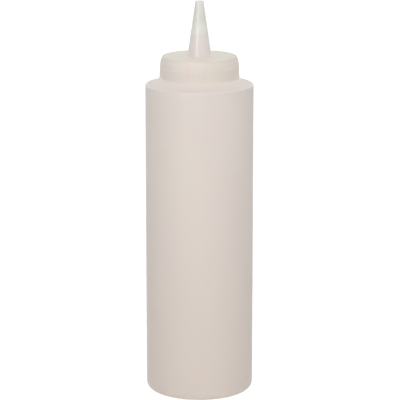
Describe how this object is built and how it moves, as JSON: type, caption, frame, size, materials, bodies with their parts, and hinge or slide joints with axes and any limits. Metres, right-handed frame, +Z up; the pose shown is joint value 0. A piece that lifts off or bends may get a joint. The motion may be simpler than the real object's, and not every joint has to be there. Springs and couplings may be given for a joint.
{
  "type": "sauce squeeze bottle",
  "caption": "Round, soft squeeze bottle for sauce with an almost flat shoulder and a ribbed screw cap that carries a long, open cone nozzle.",
  "frame": {"origin": "centre of the bottle's standing ring, on the table", "axes": "+Z up along the axis of the bottle and its nozzle; -Y towards the viewer of the picture, +X to that viewer's right"},
  "size_m": [0.055, 0.055, 0.2026],
  "materials": {
    "bottle_plastic": "soft satin, milky and slightly see-through, uncoloured low-density polyethylene",
    "cap_plastic": "satin, milky, uncoloured polyethylene, a little glossier than the bottle",
    "seal_foam": "matt white closed-cell foam"
  },
  "bodies": {
    "bottle": {"bottle": "bottle_plastic"},
    "seal": {"seal_ring": "seal_foam"},
    "cap": {"dispensing_cap": "cap_plastic"}
  },
  "joints": [
    {"name": "cap_lift", "type": "slide", "parent": "bottle", "child": "seal", "axis": [0, 0, 1], "range_m": [0, 0.0127]},
    {"name": "cap_turn", "type": "hinge", "parent": "seal", "child": "cap", "pos_m": [0, 0, 0.1735], "axis": [0, 0, 1], "range_deg": [0, 1080]}
  ],
  "couplings": [
    {"joint": "cap_lift", "follows": "cap_turn", "m_per_rad": 0.0006737}
  ]
}
